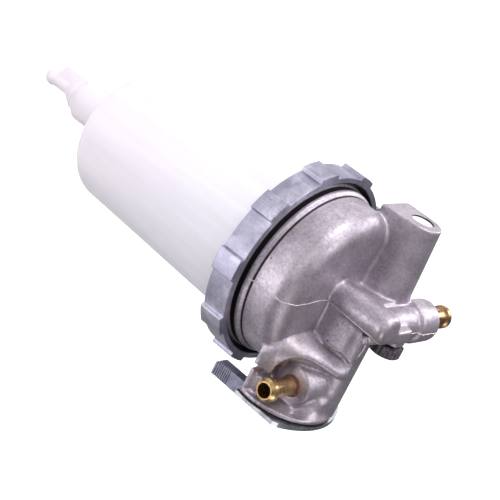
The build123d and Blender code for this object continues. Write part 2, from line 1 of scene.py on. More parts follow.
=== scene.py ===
"""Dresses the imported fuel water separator: soft-edged castings, seams, sealant and finishes."""

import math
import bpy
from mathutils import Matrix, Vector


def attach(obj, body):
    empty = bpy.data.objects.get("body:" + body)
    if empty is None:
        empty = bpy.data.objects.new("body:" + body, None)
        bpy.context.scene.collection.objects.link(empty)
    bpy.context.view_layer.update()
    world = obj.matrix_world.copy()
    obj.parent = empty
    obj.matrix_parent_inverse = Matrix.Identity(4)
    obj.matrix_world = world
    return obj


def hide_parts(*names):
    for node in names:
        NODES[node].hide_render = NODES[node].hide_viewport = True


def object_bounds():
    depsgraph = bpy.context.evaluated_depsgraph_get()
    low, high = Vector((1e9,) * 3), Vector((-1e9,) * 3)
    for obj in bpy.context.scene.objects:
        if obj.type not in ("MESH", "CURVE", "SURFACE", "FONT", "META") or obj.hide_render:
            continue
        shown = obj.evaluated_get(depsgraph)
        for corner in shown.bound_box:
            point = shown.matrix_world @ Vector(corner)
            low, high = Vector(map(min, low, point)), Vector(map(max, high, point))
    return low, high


bl_info = {
    "name": "Fuel water separator",
    "version": (1, 0, 0),
    "blender": (4, 5, 0),
    "location": "3D Viewport > Sidebar > Separator",
    "description": "Builds the visible pieces and finishes of a fuel water separator",
    "category": "Object",
}

import bmesh
import bpy
import numpy as np
from mathutils import Matrix, Vector, noise as lumps
from mathutils.bvhtree import BVHTree

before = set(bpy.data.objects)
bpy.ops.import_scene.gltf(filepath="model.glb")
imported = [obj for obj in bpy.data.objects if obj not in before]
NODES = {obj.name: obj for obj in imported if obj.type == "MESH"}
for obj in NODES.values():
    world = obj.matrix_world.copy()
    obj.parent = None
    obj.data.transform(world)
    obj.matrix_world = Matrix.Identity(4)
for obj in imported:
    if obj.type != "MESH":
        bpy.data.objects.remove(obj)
CAD_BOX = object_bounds()
MM = 0.001
PER_MM = 1000.0
WHITE = (1, 1, 1, 1)

# The frame's origin, told from the bowl's axis and the ring nut's top, in mm
MOUNT_Y = 34.8
MOUNT_Z = 20.0
SHIFT = np.array([0, MOUNT_Y, MOUNT_Z])

# The camera that matches the photograph: its target in mm about the bowl's axis, its distance from the target
# in mm, its turn, rise and roll in degrees, its lens and sensor in mm, and the picture's side in pixels
CAMERA_TARGET = (6.63, -4.37, -28.02)
CAMERA_FAR = 696.3
CAMERA_ANGLES = (-24.0, 29.496, -231.68)
LENS = 105.1
SENSOR = 36.0
PICTURE = 500
CLIP_START = 0.05

# The plug pressed into the bar's end: its middle, its radius and the bar's end, in mm
PLUG_Y, PLUG_Z, PLUG_R = 25.8, 30.7, 5.35
# Painted shade in the hole round the plug: how far beyond the plug's radius it starts and ends, in mm
PLUG_SHADE_REACH = (0.15, 0.45)
BAR_END_X = (-44.2, -44.0)

# Bands of painted shade round the head, under the lip and in the gap behind the ring nut, as heights above
# the mount in mm where they begin, are full, fade and end
LIP_SHADE_BAND = (-16.4, -16.0, -15.4, -14.9)
RING_GAP_SHADE_BAND = (-21.6, -21.2, -19.0, -18.6)
# Radii in mm over which the painted shade comes in, towards the outside
SHADE_OUTSIDE_R = (41.5, 42.3)

# The ring nut, in mm and degrees
RING_HEIGHT = 13.0
RING_OPENING_R = 39.7
RING_BORE_R = 46.3
RING_MOUTH_R = 47.7
RING_MOUTH_DEEP = 1.8
RING_SHELF = 10.5
RING_RECESS_R = 50.3
RING_LUG_R = 52.5
LUG_COUNT = 10
LUG_ANGLE = 12.6
LUG_FIRST = -2.6

# The faces that carry the nipples, and the inlet boss's radius, in mm
INLET_FACE = (41.2, -18.5, 32.0)
OUTLET_FACE = (0.0, 41.5, 47.0)
BOSS_R = 10.5

# The ring of dried sealant round a nipple, in mm: its radius, half its width and height, and how uneven it is
SEALANT_R = 4.75
SEALANT_WIDE = 0.4
SEALANT_THICK = 0.35
SEALANT_UNEVEN = 0.2

# The lobe in front of the cock, as picked in the photograph. Each section from left to right has three
# places, each a column, a row and how many mm it stands out towards the camera from the ring nut's top: where
# the lobe leaves the dome or the wall, its crest, and its lip over the inlet boss.
LOBE_SEEN = [
    ((262, 346, 26.5), (259, 355, 26.0), (263, 368, 23.5)),
    ((270, 345, 28.0), (268, 356, 28.0), (270, 374, 24.0)),
    ((277, 341, 28.8), (276, 353, 29.2), (275, 367, 25.5)),
    ((285, 337, 28.5), (285, 350, 29.5), (283, 361, 27.5)),
    ((293, 334, 25.5), (295, 348, 28.2), (295, 358.5, 27.5)),
    ((302, 332.5, 21.5), (306, 350, 26.0), (309, 361, 26.0)),
    ((311, 332.5, 17.5), (318, 356, 24.4), (321, 367, 24.4)),
    ((327, 345, 16.5), (331, 363.5, 23.0), (331, 375, 22.8)),
    ((341, 355, 18.0), (341, 370, 21.8), (340, 380, 20.8)),
    ((350, 366, 19.5), (349, 373, 19.8), (347, 380, 17.5)),
]
# The hollow between the inlet boss and the cover flange, in the same terms: its edge at the boss, its floor,
# and its edge at the flange
HOLLOW_SEEN = [
    ((286, 406, 16.0), (289, 411, 15.5), (290, 418, 19.0)),
    ((300, 404, 17.0), (302, 411, 16.0), (304, 421, 20.5)),
    ((309, 400, 17.5), (312, 410, 16.5), (315, 423, 20.5)),
    ((318, 398, 17.0), (321, 409, 17.0), (325, 420, 19.0)),
    ((326, 397, 16.0), (330, 407, 16.0), (335, 415, 17.0)),
]
# How the lobe is made, in mm: how much is pressed back to it and to the hollow, how thick it is, the block's
# left face and underside, and how far right the hollow may reach
LOBE_REACH = 14.0
HOLLOW_REACH = 8.0
LOBE_DEEP = 6.0
BLOCK_LEFT = 15.8
BLOCK_BOTTOM = 18.1
HOLLOW_RIGHT = 49.5

# Where the head's softening is held back or added, in mm: from the cover flange on and on the lip it stays
# crisp, and between inlet boss and flange it is rubbed smoother
FLANGE_X = 49.3
LIP_TOP = 4.5
FLARE_X = (38.0, 50.0)
FLARE_Y = (-33.0, -3.0)
FLARE_LOW = 18.8
BOSS_CLEAR = 1.2
SKIN_TRIANGLES = 190000

# Where the flash line on the dome starts and ends in mm about the bowl's axis, and the columns and rows of
# the photograph that it passes between them
DOME_START = [(0, -44.4, 2.8), (0.1, -43.6, 4.2)]
DOME_SEEN = [(257, 283), (264, 288), (273, 295), (281, 302), (293, 305), (307, 304), (319, 301)]
DOME_END = [(-1.2, -11.4, 25.8)]
# The other flash lines: stops in mm, width and height against the usual, and the wobble's own number
FLASH = [
    ("flash_riser",
     [(-0.6, -11.0, 26.2), (-0.4, -10.8, 36), (-0.3, -10.0, 45), (0.2, -9.6, 53), (1.5, -6, 57)],
     1.0, 1.0, 4),
    ("flash_outlet", [(0.5, 14.6, 55.5), (0.5, 25, 55.4), (0.5, 28, 57.3), (0.5, 41.0, 57.3)], 1.0, 1.0, 7),
    ("flash_wall", [(3.5, -4.5, 48.3), (7, -3.2, 48.8), (12, -3.2, 48.8), (16.5, -4, 48.5)], 1.4, 1.5, 10),
    ("flash_block", [(17, -12, 26), (19.5, -5.8, 31.5), (19.5, -5.2, 40.5), (21, -5, 47.3)], 1.0, 1.0, 13),
]

# Each lamp's name, its direction from the object told across, up and out of the picture, its side in metres
# and its power in watts. A lamp stands LAMP_FAR away, or nearer where it would come below LAMP_LOW.
LAMPS = [
    ("left", (0.6, 0.6, 0.5), 0.4, 4.5),
    ("high", (0.85, 0.0, 0.5), 0.4, 2.5),
    ("rear", (0.9, 0.3, -0.3), 0.4, 3.6),
    ("front", (0.0, 0.1, 1.0), 0.4, 1.3),
    ("right", (0.0, -0.85, 0.5), 0.4, 1.55),
    ("low_rear", (0.5, 0.8, 0.0), 0.4, 0.75),
    ("low_front", (-0.85, 0.0, 0.5), 0.16, 0.4),
    ("low_left", (-0.6, 0.6, 0.5), 0.11, 0.08),
]
LAMP_FAR = 0.9
LAMP_LOW = -0.164
LIT_MIDDLE = (0, -MOUNT_Y * MM, -0.04)

# The floor, and how brightly floor and surroundings glow for the camera and for what metal and glass reflect
FLOOR_SIDE = 6.0
FLOOR_DROP = 0.002
FLOOR_GLOW = 0.92
FLOOR_FAINT = 0.15
WORLD_GLOW = 0.04
WORLD_FAINT = 0.1


def at(x, y, z):
    """A point given about the bowl's axis in mm, in the frame's metres."""
    return Vector((x * MM, (y - MOUNT_Y) * MM, (z - MOUNT_Z) * MM))


def linear(code):
    """A hex sRGB colour as the linear RGBA that Blender's sockets take."""
    parts = [int(code[i:i + 2], 16) / 255 for i in (0, 2, 4)]
    return [p / 12.92 if p <= 0.04045 else ((p + 0.055) / 1.055) ** 2.4 for p in parts] + [1.0]


def camera_axes():
    """Three directions as columns: across the camera's picture, up it, and out of it towards the camera."""
    turn, rise, roll = np.radians(CAMERA_ANGLES)
    out = np.array([np.sin(turn) * np.cos(rise), -np.cos(turn) * np.cos(rise), np.sin(rise)])
    level = np.array([np.cos(turn), np.sin(turn), 0])
    up = np.cross(out, level)
    across = level * np.cos(roll) + up * np.sin(roll)
    above = up * np.cos(roll) - level * np.sin(roll)
    return np.stack([across, above, out], axis=1)


AXES = camera_axes()
OUT = AXES[:, 2]
EYE = np.array(CAMERA_TARGET) + CAMERA_FAR * OUT


def sight(places):
    """The camera's lines of sight through places in the picture, each a column and a row."""
    off = (np.array(places, float) - PICTURE / 2) * SENSOR / (LENS * PICTURE)
    return off[..., :1] * AXES[:, 0] - off[..., 1:] * AXES[:, 1] - OUT


def standing_out(sections):
    """Points from places in the picture and how far they stand out, in mm about the bowl's axis.

    A point is where the line of sight through its place reaches that distance. It is rounded to half a mm.
    """
    sections = np.array(sections, float)
    points = EYE + (EYE @ OUT - sections[..., 2:]) * sight(sections[..., :2])
    return np.round(2 * points) / 2


# Settings that a user would change


class SeparatorSizes(bpy.types.PropertyGroup):
    casting_net: bpy.props.FloatProperty(
        name="Casting net", description="Cell size of the head's softened net", default=0.0006, min=0.0004,
        unit="LENGTH", precision=5)
    ring_edge: bpy.props.FloatProperty(
        name="Ring edge", description="Radius of the worn edges on the ring nut's lugs", default=0.00035,
        min=0.00005, unit="LENGTH", precision=5)
    flash_width: bpy.props.FloatProperty(
        name="Flash width", description="Width of the flash lines on the head casting", default=0.00055,
        min=0.0001, unit="LENGTH", precision=5)
    flash_height: bpy.props.FloatProperty(
        name="Flash height", description="How far the flash lines stand up", default=0.00028, min=0.00005,
        unit="LENGTH", precision=5)


class SeparatorColours(bpy.types.PropertyGroup):
    casting: bpy.props.FloatVectorProperty(
        name="Casting", description="Middle tone of the die-cast head", subtype="COLOR", size=4, min=0, max=1,
        default=linear("C1B7C4"))
    ring: bpy.props.FloatVectorProperty(
        name="Ring nut", description="Middle tone of the ring nut", subtype="COLOR", size=4, min=0, max=1,
        default=linear("B8B4C8"))
    bowl: bpy.props.FloatVectorProperty(
        name="Bowl", description="Upper colour of the milky bowl", subtype="COLOR", size=4, min=0, max=1,
        default=linear("EFECF3"))
    brass: bpy.props.FloatVectorProperty(
        name="Brass", description="Bright tone of the inlet nipple", subtype="COLOR", size=4, min=0, max=1,
        default=linear("EBCB98"))
    float_ring: bpy.props.FloatVectorProperty(
        name="Float", description="Light tone of the float ring", subtype="COLOR", size=4, min=0, max=1,
        default=linear("C62A20"))


# Materials


def paint(band, stops):
    """Gives a colour band its stops, each a place from 0 to 1 and a hex code or one of the user's colours."""
    while len(band.elements) > 1:
        band.elements.remove(band.elements[-1])
    for i, (place, colour) in enumerate(stops):
        element = band.elements[0] if i == 0 else band.elements.new(place)
        element.position = place
        element.color = linear(colour) if isinstance(colour, str) else colour


def feed(node, *values, **named):
    """Sets or links a node's inputs: values fill its live inputs in order, names are the inputs' own."""
    live = [socket for socket in node.inputs if socket.enabled]
    pairs = list(zip(live, values))
    pairs += [(node.inputs[name.replace("_", " ")], value) for name, value in named.items()]
    for socket, value in pairs:
        if isinstance(value, bpy.types.NodeSocket):
            node.id_data.links.new(value, socket)
        else:
            socket.default_value = value


def add(tree, kind, *values, stops=(), **named):
    """Adds a node with its settings and links, and gives its first live output.

    A name that the node has as a property sets that, and any other name is an input's.
    """
    made = tree.nodes.new("ShaderNode" + kind)
    for name in [name for name in named if hasattr(made, name)]:
        setattr(made, name, named.pop(name))
    if stops:
        paint(made.color_ramp, stops)
    feed(made, *values, **named)
    return next(socket for socket in made.outputs if socket.enabled)


def new_material(name):
    """A node material with its tree, its Principled shader and the object's coordinates."""
    made = bpy.data.materials.new(name)
    made.use_nodes = True
    tree = made.node_tree
    place = add(tree, "TexCoord").node.outputs["Object"]
    return made, tree, tree.nodes["Principled BSDF"], place


def tint(tree, base, colour, pattern, low, high, at_low=0.0, at_high=1.0):
    """Lays a colour over the base, by a share from at_low to at_high as the pattern goes from low to high."""
    share = add(tree, "MapRange", pattern, low, high, at_low, at_high)
    return add(tree, "Mix", share, base, linear(colour), data_type="RGBA")


def band(tree, value, start, full, fade, end):
    """One between full and fade, and falling to nothing at start and end."""
    rise = add(tree, "MapRange", value, start, full, 0.0, 1.0)
    fall = add(tree, "MapRange", value, fade, end, 1.0, 0.0)
    return add(tree, "Math", rise, fall, operation="MULTIPLY")


def about_axis(tree, place):
    """Distance from the bowl's axis and height above the mount, both in mm."""
    parts = add(tree, "SeparateXYZ", place).node.outputs
    off = add(tree, "Math", parts["Y"], MOUNT_Y * MM, operation="ADD")
    flat = add(tree, "CombineXYZ", parts["X"], off)
    radius = add(tree, "VectorMath", flat, operation="LENGTH")
    return [add(tree, "Math", value, PER_MM, operation="MULTIPLY") for value in (radius, parts["Z"])]


def plug_hole_shade(tree, place):
    """Painted shade round the plug pressed into the bar's end, where the hole's wall beside it lies in shade.
    """
    parts = add(tree, "SeparateXYZ", place).node.outputs
    middle = at(0, PLUG_Y, PLUG_Z)
    y = add(tree, "Math", parts["Y"], middle[1], operation="SUBTRACT")
    z = add(tree, "Math", parts["Z"], middle[2], operation="SUBTRACT")
    away = add(tree, "VectorMath", add(tree, "CombineXYZ", 0.0, y, z), operation="LENGTH")
    near, far = [(PLUG_R + step) * MM for step in PLUG_SHADE_REACH]
    close = add(tree, "MapRange", away, near, far, 1.0, 0.0)
    end = add(tree, "MapRange", parts["X"], BAR_END_X[0] * MM, BAR_END_X[1] * MM, 1.0, 0.0)
    return add(tree, "Math", close, end, operation="MULTIPLY")


def die_cast_aluminium():
    """Pressure die-cast aluminium: satin skin, leathery grain, cloudy flow marks, stains and dark pits, with
    painted shade under the lip, behind the ring nut and round the bar's plug.
    """
    made, tree, shader, place = new_material("die_cast_aluminium")
    casting = bpy.context.scene.separator_colours.casting
    cloud = add(tree, "TexNoise", place, PER_MM / 11, 4, 0.6)
    base = add(tree, "ValToRGB", cloud, stops=[(0.32, "ABA1AE"), (0.5, casting), (0.68, "D0C6D3")])
    leather = add(tree, "TexNoise", place, PER_MM / 1.4, 5, 0.72)
    base = tint(tree, base, "7D737E", leather, 0.34, 0.62, 0.55, 0.0)
    fleck = add(tree, "TexNoise", place, PER_MM / 0.55, 3, 0.7)
    base = tint(tree, base, "E6DEE6", fleck, 0.56, 0.78, 0.0, 0.45)
    stain = add(tree, "TexNoise", place, PER_MM / 22, 3, 0.6)
    base = tint(tree, base, "B2A6A8", stain, 0.56, 0.74)
    # pits are four millimetres apart and only show where a slow pattern lets them
    cells = add(tree, "TexVoronoi", place, PER_MM / 4)
    pits = add(tree, "MapRange", cells, 0.04, 0.13, 1.0, 0.0)
    gate = add(tree, "MapRange", add(tree, "TexNoise", place, PER_MM / 8, 1, 0.55), 0.5, 0.6, 0.0, 1.0)
    pit = add(tree, "Math", pits, gate, operation="MULTIPLY")
    base = add(tree, "Mix", pit, base, linear("4E454F"), data_type="RGBA")
    # painted shade under the lip and in the gap behind the ring nut, on the outside only
    radius, height = about_axis(tree, place)
    outer = add(tree, "MapRange", radius, *SHADE_OUTSIDE_R, 0.0, 1.0)
    lip, gap_shade = band(tree, height, *LIP_SHADE_BAND), band(tree, height, *RING_GAP_SHADE_BAND)
    groove_shade = add(tree, "Math", lip, gap_shade, operation="MAXIMUM")
    groove_shade = add(tree, "Math", groove_shade, outer, operation="MULTIPLY")
    base = add(tree, "Mix", groove_shade, base, linear("2A262C"), data_type="RGBA")
    # painted shade in the hole round the bar's plug
    base = add(tree, "Mix", plug_hole_shade(tree, place), base, linear("1C191E"), data_type="RGBA")
    sheen = add(tree, "MapRange", leather, 0.3, 0.7, 0.56, 0.38)
    grain = add(tree, "Bump", Strength=0.6, Distance=0.05 * MM, Height=fleck)
    skin = add(tree, "Bump", Strength=0.6, Distance=0.16 * MM, Height=leather, Normal=grain)
    skin = add(tree, "Bump", Strength=0.8, Distance=-0.2 * MM, Height=pit, Normal=skin)
    feed(shader, Base_Color=base, Roughness=sheen, Metallic=0.75, Normal=skin)
    return made


def tumbled_ring():
    """Die-cast ring nut, tumbled: bluish, with mottled faces and bright scuffs along the lugs."""
    made, tree, shader, place = new_material("tumbled_die_casting")
    ring = bpy.context.scene.separator_colours.ring
    cloud = add(tree, "TexNoise", place, PER_MM / 6, 4, 0.65)
    base = add(tree, "ValToRGB", cloud, stops=[(0.3, "9A97AA"), (0.5, ring), (0.7, "D6D1DF")])
    stretched = add(tree, "Mapping", place, Scale=(1.0, 1.0, 0.14))
    scuff = add(tree, "TexNoise", stretched, PER_MM / 1.1, 4, 0.75)
    base = tint(tree, base, "E6E3EC", scuff, 0.5, 0.72, 0.0, 0.5)
    dirt = add(tree, "TexNoise", place, PER_MM / 2.2, 5, 0.75)
    base = tint(tree, base, "6F6C7E", dirt, 0.3, 0.5, 0.5, 0.0)
    patch = add(tree, "TexNoise", place, PER_MM / 26, 2, 0.5)
    base = tint(tree, base, "7E7B90", patch, 0.44, 0.6, 0.6, 0.0)
    # the bore is in shade
    radius = about_axis(tree, place)[0]
    base = tint(tree, base, "1E1C20", radius, 47.2, RING_MOUTH_R, 1.0, 0.0)
    sheen = add(tree, "MapRange", cloud, 0.3, 0.7, 0.36, 0.52)
    fine = add(tree, "TexNoise", place, PER_MM / 0.5, 3, 0.55)
    grain = add(tree, "Bump", Strength=0.5, Distance=0.04 * MM, Height=fine)
    skin = add(tree, "Bump", Strength=0.5, Distance=0.08 * MM, Height=dirt, Normal=grain)
    feed(shader, Base_Color=base, Roughness=sheen, Metallic=0.85, Normal=skin)
    return made


def milky_nylon():
    """Moulded natural nylon: milky white, lets light in a little way, long soft streaks, pink low down."""
    made, tree, shader, place = new_material("moulded_milky_nylon")
    bowl = bpy.context.scene.separator_colours.bowl
    height = add(tree, "SeparateXYZ", place).node.outputs["Z"]
    low = add(tree, "MapRange", height, -0.16, -0.06, 1.0, 0.0)
    base = add(tree, "Mix", low, tuple(bowl), linear("F0E6EE"), data_type="RGBA")
    streaks = add(tree, "Mapping", place, Scale=(1.0, 1.0, 0.06))
    streak = add(tree, "TexNoise", streaks, PER_MM / 9, 3, 0.55)
    base = tint(tree, base, "E6E1EE", streak, 0.38, 0.66)
    ripple = add(tree, "TexNoise", place, PER_MM / 10, 3, 0.55)
    skin = add(tree, "Bump", Strength=0.25, Distance=0.08 * MM, Height=ripple)
    feed(shader, Base_Color=base, Roughness=0.32, IOR=1.53, Normal=skin, Subsurface_Weight=0.3,
         Subsurface_Radius=(1.0, 0.9, 0.95), Subsurface_Scale=0.003)
    return made


def turned_brass(name, dark, light, stain):
    """Turned brass gone a little brown: fine rings left by the tool, darker blotches where fuel has dried."""
    made, tree, shader, place = new_material(name)
    squeezed = add(tree, "Mapping", place, Scale=(0.08, 1.0, 0.08))
    rings = add(tree, "TexNoise", squeezed, PER_MM / 0.5, 2, 0.55)
    base = add(tree, "ValToRGB", rings, stops=[(0.35, dark), (0.6, light)])
    blotch = add(tree, "TexNoise", place, PER_MM / 3, 4, 0.7)
    base = tint(tree, base, stain, blotch, 0.48, 0.72, 0.0, 0.7)
    sheen = add(tree, "MapRange", blotch, 0.3, 0.7, 0.22, 0.4)
    skin = add(tree, "Bump", Strength=0.4, Distance=0.01 * MM, Height=rings)
    feed(shader, Base_Color=base, Roughness=sheen, Metallic=1.0, Normal=skin)
    return made


def zinc_plate():
    """Zinc-plated sheet steel: bright and faintly blue, with a soft cloudiness."""
    made, tree, shader, place = new_material("zinc_plated_steel")
    cloud = add(tree, "TexNoise", place, PER_MM / 5, 4, 0.65)
    base = add(tree, "ValToRGB", cloud, stops=[(0.3, "B9BBC3"), (0.7, "DADBE2")])
    sheen = add(tree, "MapRange", cloud, 0.3, 0.7, 0.22, 0.38)
    fine = add(tree, "TexNoise", place, PER_MM / 0.5, 2, 0.55)
    skin = add(tree, "Bump", Strength=0.5, Distance=0.01 * MM, Height=fine)
    feed(shader, Base_Color=base, Roughness=sheen, Metallic=1.0, Normal=skin)
    return made


def plain_finish(name, cloud, stops, grain, depth, strength, roughness, metallic=0.0):
    """A finish with one cloudy colour over a grain of a real depth in mm.

    Cloud and grain are each a lump size in mm, a detail and a roughness.
    """
    made, tree, shader, place = new_material(name)
    colour = add(tree, "TexNoise", place, PER_MM / cloud[0], *cloud[1:])
    base = add(tree, "ValToRGB", colour, stops=stops)
    fine = colour if grain == cloud else add(tree, "TexNoise", place, PER_MM / grain[0], *grain[1:])
    skin = add(tree, "Bump", Strength=strength, Distance=depth * MM, Height=fine)
    feed(shader, Base_Color=base, Roughness=roughness, Metallic=metallic, Normal=skin)
    return made


def nitrile_rubber():
    """Moulded nitrile rubber: near black, dull."""
    return plain_finish("moulded_nitrile_rubber", (2, 3, 0.55), [(0.3, "0C0C0D"), (0.7, "1B1A1C")],
                        (0.4, 2, 0.55), 0.02, 0.5, 0.62)


def grip_casting():
    """The lever: small zinc die casting, bluish, duller than the ring."""
    return plain_finish("zinc_die_casting", (3, 3, 0.55), [(0.3, "77788C"), (0.7, "9C9DB0")],
                        (0.5, 2, 0.55), 0.02, 0.5, 0.46, 0.8)


def cast_cap():
    """The bleed cap: a rough, unpolished zinc casting, its colour darkened with painted shade."""
    rough = (1.6, 4, 0.7)
    # painted shade darkens these stops below the head's tone
    return plain_finish("zinc_casting_painted_shade", rough, [(0.3, "4B454E"), (0.55, "6E6670"), (0.75, "9A919C")],
                        rough, 0.2, 0.7, 0.5, 0.5)


def bright_steel():
    """Bright drawn steel, as on a pressed-in plug."""
    return plain_finish("bright_steel", (2, 3, 0.55), [(0.3, "ECECF1"), (0.7, "FFFFFF")],
                        (0.4, 2, 0.55), 0.01, 0.5, 0.5, 0.6)


def torn_flash():
    """Broken-off flash: bright, torn aluminium."""
    return plain_finish("torn_aluminium_flash", (0.8, 3, 0.7), [(0.3, "B4AAB2"), (0.6, "EAE2EA")],
                        (0.4, 3, 0.55), 0.05, 0.6, 0.4, 0.5)


def thread_sealant():
    """Dried thread sealant: reddish brown, cracked and half dull."""
    return plain_finish("dried_thread_sealant", (0.9, 4, 0.7),
                        [(0.3, "5A3230"), (0.55, "8C5A55"), (0.75, "B08C88")], (0.6, 4, 0.7), 0.15, 0.8, 0.6)


def moulded(name, dark, light, roughness):
    """Plain moulded plastic with a faint swirl of its colour."""
    return plain_finish(name, (8, 3, 0.55), [(0.3, dark), (0.7, light)], (0.8, 2, 0.55), 0.01, 0.5, roughness)


FINISHES = {}


def finish_of(kind):
    """Makes each finish once and hands out the same material after that."""
    colours = bpy.context.scene.separator_colours
    makers = {
        "casting": die_cast_aluminium, "ring": tumbled_ring, "nylon": milky_nylon,
        "brass": lambda: turned_brass("turned_brass", "CFA873", colours.brass, "8A643E"),
        "dull_brass": lambda: turned_brass("browned_brass", "A07B58", "C9A27C", "6B4A34"),
        "zinc": zinc_plate, "rubber": nitrile_rubber, "grip": grip_casting, "cap": cast_cap,
        "bright": bright_steel, "sealant": thread_sealant, "flash": torn_flash,
        "red": lambda: moulded("moulded_red_acetal", "A81812", colours.float_ring, 0.4),
        "white": lambda: moulded("moulded_white_acetal", "D9D6D2", "E8E5E2", 0.5),
    }
    if kind not in FINISHES:
        FINISHES[kind] = makers[kind]()
    return FINISHES[kind]


NODE_FINISH = {
    "head_casting": "casting", "ring_nut": "ring", "bowl": "nylon", "bowl_gasket": "rubber",
    "inlet_nipple": "brass", "outlet_nipple": "dull_brass", "end_gasket": "rubber", "end_cover": "zinc",
    "cover_screws": "zinc", "cock_plug": "brass", "cock_oring": "rubber", "thrust_washer": "zinc",
    "cock_lever": "grip", "lever_nut": "zinc", "gallery_plug": "bright", "bleed_washer": "rubber",
    "bleed_screw": "cap", "baffle": "white", "baffle_screws": "zinc", "float_ring": "red",
    "drain_plug": "nylon", "drain_oring": "rubber",
}


def dress(piece, kind):
    """Gives a piece one finish in its only material slot."""
    piece.data.materials.clear()
    piece.data.materials.append(finish_of(kind))


# Meshes


def place_piece(name, mesh, body, kind):
    """Links a new piece, finishes it and lets it ride on a body."""
    piece = bpy.data.objects.new(name, mesh)
    bpy.context.scene.collection.objects.link(piece)
    dress(piece, kind)
    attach(piece, body)
    return piece


def changed(mesh, kind, **settings):
    """The mesh that one modifier makes of another."""
    work = bpy.data.objects.new("work", mesh)
    bpy.context.scene.collection.objects.link(work)
    modifier = work.modifiers.new("change", kind)
    for name, value in settings.items():
        setattr(modifier, name, value)
    made = bpy.data.meshes.new_from_object(work.evaluated_get(bpy.context.evaluated_depsgraph_get()))
    bpy.data.objects.remove(work)
    return made


def even_net(mesh, cell):
    """A mesh with the same outside, redone as an even net of cells of that size in metres."""
    return changed(changed(mesh, "WELD", merge_threshold=0.00001), "REMESH", mode="VOXEL", voxel_size=cell)


def thinned(mesh, most):
    """The same skin with no more than that many triangles, taken where it is flattest."""
    mesh.calc_loop_triangles()
    return changed(mesh, "DECIMATE", ratio=min(1.0, most / len(mesh.loop_triangles)))


def points_of(mesh):
    """A mesh's vertices in mm about the bowl's axis."""
    flat = np.empty(len(mesh.vertices) * 3)
    mesh.vertices.foreach_get("co", flat)
    return flat.reshape(-1, 3) / MM + SHIFT


def set_points(mesh, points):
    """Moves a mesh's vertices to points in mm about the bowl's axis."""
    mesh.vertices.foreach_set("co", ((points - SHIFT) * MM).ravel())
    mesh.update()


def smooth(mesh):
    """Shades all of a mesh's faces smooth."""
    mesh.polygons.foreach_set("use_smooth", np.ones(len(mesh.polygons), bool))


def rub(mesh, share, rounds):
    """Moves each vertex by a share of the way to the mean of its neighbours, a number of times."""
    edges = np.empty(len(mesh.edges) * 2, int)
    mesh.edges.foreach_get("vertices", edges)
    edges = edges.reshape(-1, 2)
    points = points_of(mesh)
    count = np.bincount(edges.ravel(), minlength=len(points))[:, None]
    share = share(points)[:, None]
    start, end = edges.T
    total = np.empty_like(points)
    for _ in range(rounds):
        for k in range(3):
            total[:, k] = np.bincount(start, points[end, k], len(points))
            total[:, k] += np.bincount(end, points[start, k], len(points))
        points = points + share * (total / np.maximum(count, 1) - points)
    set_points(mesh, points)


def lofted(sections, across, along):
    """A skin S(s, t) through sections of three points each.

    In t it is the parabola through a section's points, and in s the Catmull-Rom curve through the sections.
    """
    t = np.linspace(0, 1, across)
    weights = np.stack([(1 - t) * (1 - 2 * t), 4 * t * (1 - t), t * (2 * t - 1)], axis=1)
    rows = np.einsum("tk,skc->stc", weights, sections)
    rows = np.concatenate([2 * rows[:1] - rows[1:2], rows, 2 * rows[-1:] - rows[-2:-1]])
    spans = len(rows) - 3
    s = np.linspace(0, spans, along)
    i = np.minimum(s.astype(int), spans - 1)
    f = (s - i)[:, None, None]
    before, here, there, after = (rows[i + k] for k in range(4))
    return 0.5 * (2 * here + (there - before) * f + (2 * before - 5 * here + 4 * there - after) * f ** 2
                  + (3 * here - before - 3 * there + after) * f ** 3)


def height_map(skin, cell):
    """Where square cells of the picture's plane start, and how far a skin stands out in each, as a mean."""
    seen = skin.reshape(-1, 3) @ AXES
    low = seen[:, :2].min(0)
    row, column = ((seen[:, :2] - low) / cell).astype(int).T
    size = (row.max() + 1, column.max() + 1)
    key = row * size[1] + column
    count = np.bincount(key, minlength=size[0] * size[1])
    total = np.bincount(key, seen[:, 2], size[0] * size[1])
    return low, np.where(count > 0, total / np.maximum(count, 1), np.nan).reshape(size)


def cut_back(mesh, sections, deep, right, cell=0.4, enough=0.4):
    """Presses whatever stands in front of a skin, by up to deep mm and left of right, back onto it.

    The skin's height at a point is the four nearest cells' heights, weighted by how near they are. It counts
    where enough of that weight is on cells that the skin covers.
    """
    low, heights = height_map(lofted(sections, 120, 500), cell)
    points = points_of(mesh)
    seen = points @ AXES
    place = (seen[:, :2] - low) / cell - 0.5
    first = np.floor(place).astype(int)
    part = place - first
    total, known = np.zeros(len(points)), np.zeros(len(points))
    for i, j in ((0, 0), (0, 1), (1, 0), (1, 1)):
        row, column = first[:, 0] + i, first[:, 1] + j
        inside = (row >= 0) & (column >= 0) & (row < heights.shape[0]) & (column < heights.shape[1])
        height = np.where(inside, heights[np.where(inside, row, 0), np.where(inside, column, 0)], np.nan)
        weight = np.abs(1 - i - part[:, 0]) * np.abs(1 - j - part[:, 1]) * np.isfinite(height)
        total += weight * np.nan_to_num(height)
        known += weight
    extra = seen[:, 2] - total / np.maximum(known, 1e-6)
    between = (points[:, 0] > BLOCK_LEFT) & (points[:, 0] < right)
    take = (known > enough) & (extra > 0) & (extra < deep) & between
    set_points(mesh, points - np.where(take, extra, 0.0)[:, None] * OUT)


